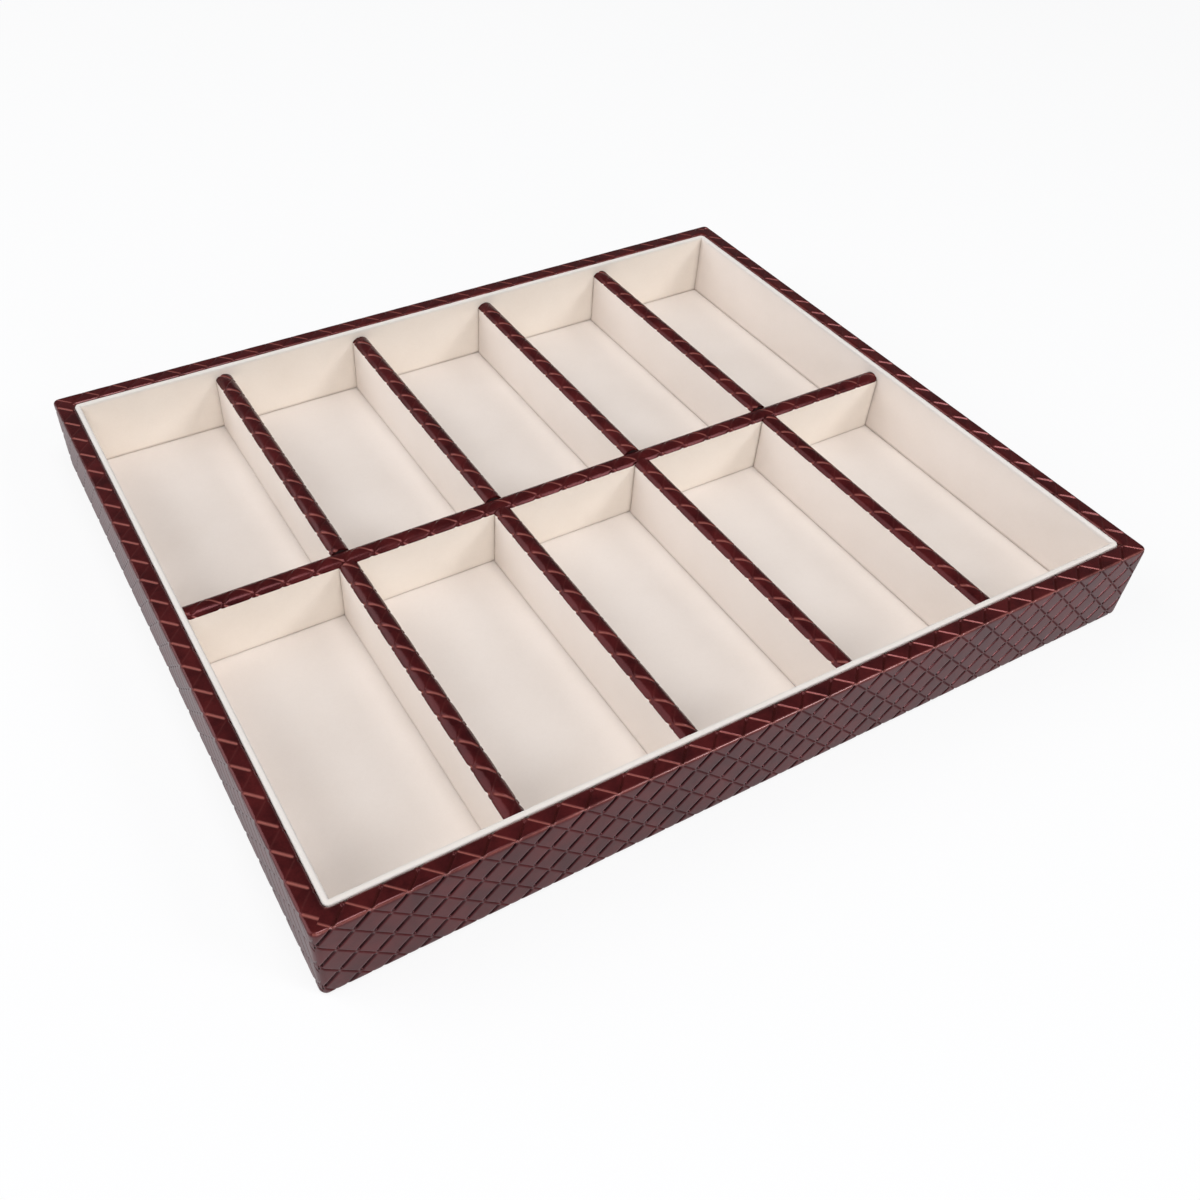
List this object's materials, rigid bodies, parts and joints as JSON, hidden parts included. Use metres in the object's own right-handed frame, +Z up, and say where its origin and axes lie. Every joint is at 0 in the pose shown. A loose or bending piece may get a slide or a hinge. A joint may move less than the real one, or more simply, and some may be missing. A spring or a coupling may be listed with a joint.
{
  "type": "jewelry tray",
  "caption": "Open rectangular jewelry tray wrapped in embossed leatherette, with velvet-lined compartments between one long cross divider and short dividers with leatherette caps.",
  "frame": {"origin": "centre of the underside, on the felt that the tray rests on", "axes": "+X along the front from left to right, +Y from the front to the back, +Z up out of the compartments"},
  "size_m": [0.33, 0.279, 0.0345],
  "materials": {
    "leatherette": "gloss",
    "velvet": "matte",
    "fibreboard": "matte",
    "card": "matte",
    "felt": "matte"
  },
  "bodies": {
    "root": {"base_board": "fibreboard", "bottom_cover": "felt", "cross_divider_board": "fibreboard", "cross_divider_cap": "leatherette", "cross_divider_velvet_back": "velvet", "cross_divider_velvet_front": "velvet", "divider_back_1_board": "fibreboard", "divider_back_1_cap": "leatherette", "divider_back_1_velvet_left": "velvet", "divider_back_1_velvet_right": "velvet", "divider_back_2_board": "fibreboard", "divider_back_2_cap": "leatherette", "divider_back_2_velvet_left": "velvet", "divider_back_2_velvet_right": "velvet", "divider_back_3_board": "fibreboard", "divider_back_3_cap": "leatherette", "divider_back_3_velvet_left": "velvet", "divider_back_3_velvet_right": "velvet", "divider_back_4_board": "fibreboard", "divider_back_4_cap": "leatherette", "divider_back_4_velvet_left": "velvet", "divider_back_4_velvet_right": "velvet", "divider_front_1_board": "fibreboard", "divider_front_1_cap": "leatherette", "divider_front_1_velvet_left": "velvet", "divider_front_1_velvet_right": "velvet", "divider_front_2_board": "fibreboard", "divider_front_2_cap": "leatherette", "divider_front_2_velvet_left": "velvet", "divider_front_2_velvet_right": "velvet", "divider_front_3_board": "fibreboard", "divider_front_3_cap": "leatherette", "divider_front_3_velvet_left": "velvet", "divider_front_3_velvet_right": "velvet", "divider_front_4_board": "fibreboard", "divider_front_4_cap": "leatherette", "divider_front_4_velvet_left": "velvet", "divider_front_4_velvet_right": "velvet", "floor_velvet": "velvet", "leather_wrap_back": "leatherette", "leather_wrap_front": "leatherette", "leather_wrap_left": "leatherette", "leather_wrap_right": "leatherette", "liner_card_back": "card", "liner_card_front": "card", "liner_card_left": "card", "liner_card_right": "card", "liner_velvet_back": "velvet", "liner_velvet_front": "velvet", "liner_velvet_left": "velvet", "liner_velvet_right": "velvet", "wall_board_back": "fibreboard", "wall_board_front": "fibreboard", "wall_board_left": "fibreboard", "wall_board_right": "fibreboard"}
  },
  "joints": []
}
